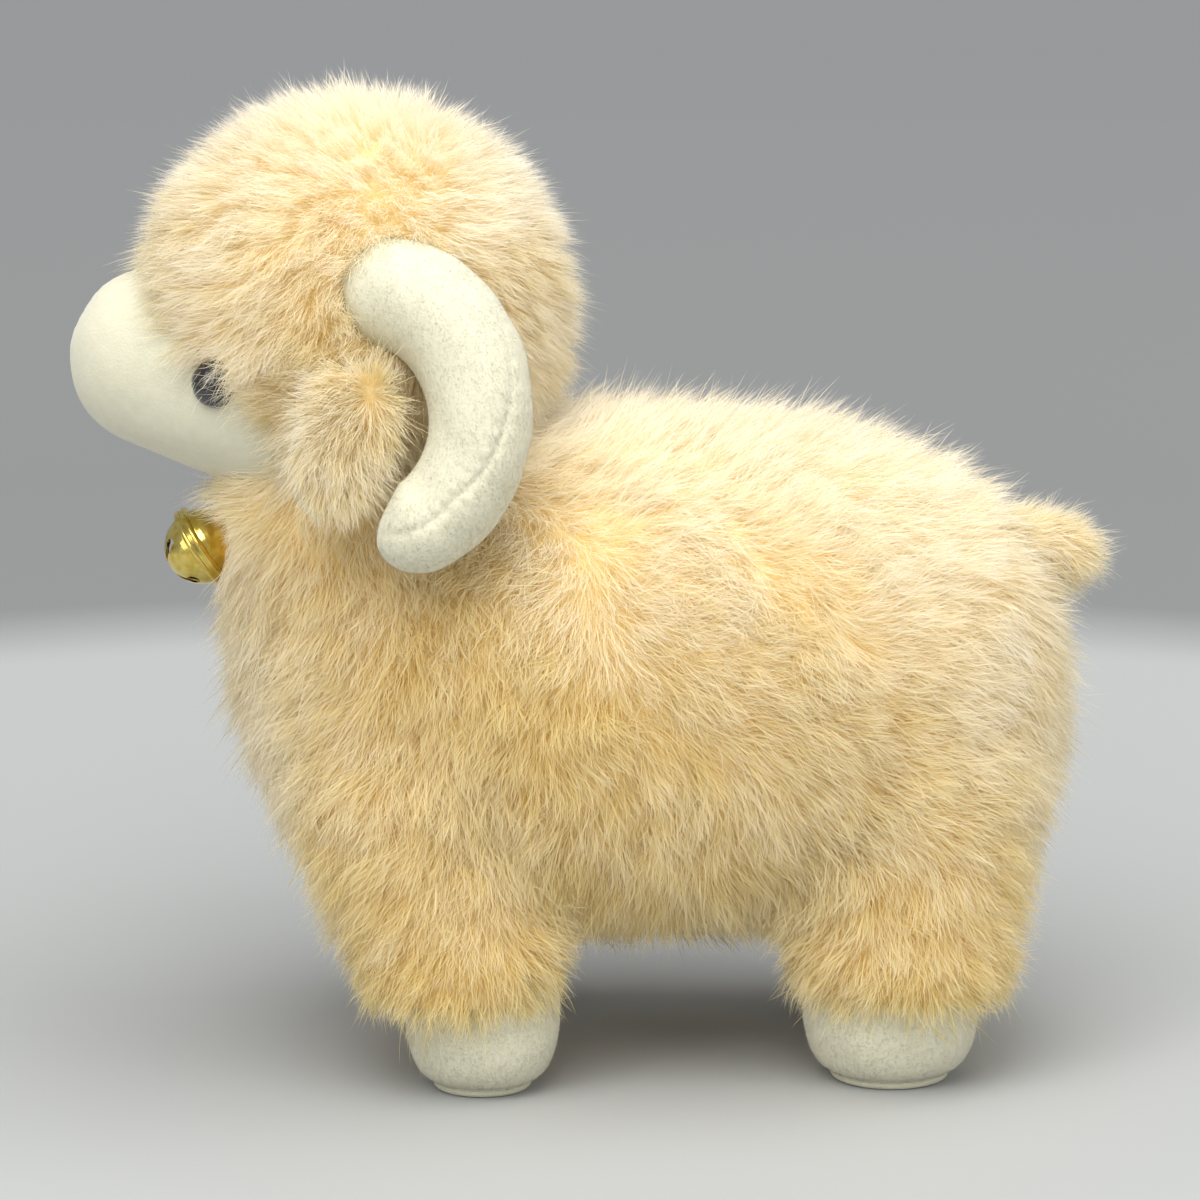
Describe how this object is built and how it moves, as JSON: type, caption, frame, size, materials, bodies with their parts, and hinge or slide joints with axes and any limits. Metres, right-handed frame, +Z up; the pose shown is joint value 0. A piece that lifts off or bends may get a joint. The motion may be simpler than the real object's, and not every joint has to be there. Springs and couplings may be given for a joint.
{
  "type": "plush ram",
  "caption": "Standing plush ram with long cream fur, white face and feet, curled horns that flex, drooping ears, a wagging tail and a jingle bell on its chest.",
  "frame": {"origin": "middle of the bounding box's base, on the floor between the feet", "axes": "the ram faces -X, its left side is at -Y, +Z is up"},
  "size_m": [0.2988, 0.1754, 0.28],
  "materials": {
    "long_fur": "matte",
    "short_plush": "matte",
    "filling": "matte",
    "thread": "satin",
    "eye": "gloss",
    "washer": "matte",
    "brass": "polished",
    "steel": "satin"
  },
  "bodies": {
    "torso": {"side_panel_left": "long_fur", "side_panel_right": "long_fur", "belly_gusset": "long_fur", "body_stuffing": "filling", "bell_tie": "thread", "leg_front_left": "long_fur", "leg_front_right": "long_fur", "leg_rear_left": "long_fur", "leg_rear_right": "long_fur", "foot_front_left": "short_plush", "foot_front_right": "short_plush", "foot_rear_left": "short_plush", "foot_rear_right": "short_plush", "sole_front_left": "short_plush", "sole_front_right": "short_plush", "sole_rear_left": "short_plush", "sole_rear_right": "short_plush"},
    "head": {"hood_left": "long_fur", "hood_right": "long_fur", "crown_gusset": "long_fur", "head_stuffing": "filling", "nose_stitch": "thread", "face_left": "short_plush", "face_right": "short_plush", "eye_left": "eye", "eye_right": "eye", "eye_washer_left": "washer", "eye_washer_right": "washer"},
    "horn_left": {"horn_outer_left": "short_plush", "horn_inner_left": "short_plush", "horn_stuffing_left": "filling"},
    "horn_right": {"horn_outer_right": "short_plush", "horn_inner_right": "short_plush", "horn_stuffing_right": "filling"},
    "ear_left": {"ear_back_left": "long_fur", "ear_lining_left": "short_plush"},
    "ear_right": {"ear_back_right": "long_fur", "ear_lining_right": "short_plush"},
    "tail": {"tail_upper": "long_fur", "tail_under": "long_fur", "tail_stuffing": "filling"},
    "bell": {"bell_cap": "brass", "bell_cup": "brass", "bell_eye": "brass"},
    "pellet": {"bell_pellet": "steel"}
  },
  "joints": [
    {"name": "head_nod", "type": "hinge", "parent": "torso", "child": "head", "pos_m": [-0.069, 0, 0.217], "axis": [0, 1, 0], "range_deg": [-6, 8], "stiffness_Nm_per_rad": 0.6},
    {"name": "horn_left_flex", "type": "hinge", "parent": "head", "child": "horn_left", "pos_m": [-0.05573, -0.04724, 0.22799], "axis": [0, 0, -1], "range_deg": [0, 12], "stiffness_Nm_per_rad": 0.03},
    {"name": "horn_right_flex", "type": "hinge", "parent": "head", "child": "horn_right", "pos_m": [-0.05573, 0.04724, 0.22799], "axis": [0, 0, 1], "range_deg": [0, 12], "stiffness_Nm_per_rad": 0.03},
    {"name": "ear_left_flop", "type": "hinge", "parent": "head", "child": "ear_left", "pos_m": [-0.0655, -0.0665, 0.205], "axis": [-1, 0, 0], "range_deg": [0, 40]},
    {"name": "ear_right_flop", "type": "hinge", "parent": "head", "child": "ear_right", "pos_m": [-0.0655, 0.0665, 0.205], "axis": [1, 0, 0], "range_deg": [0, 40]},
    {"name": "tail_wag", "type": "hinge", "parent": "torso", "child": "tail", "pos_m": [0.12, 0, 0.147], "axis": [0, 0, 1], "range_deg": [-25, 25], "stiffness_Nm_per_rad": 0.01},
    {"name": "bell_swing", "type": "hinge", "parent": "torso", "child": "bell", "pos_m": [-0.1007, 0, 0.1565], "axis": [0, 1, 0], "range_deg": [0, 20]},
    {"name": "pellet_rattle", "type": "slide", "parent": "bell", "child": "pellet", "axis": [0, 0, 1], "range_m": [0, 0.0132]}
  ]
}
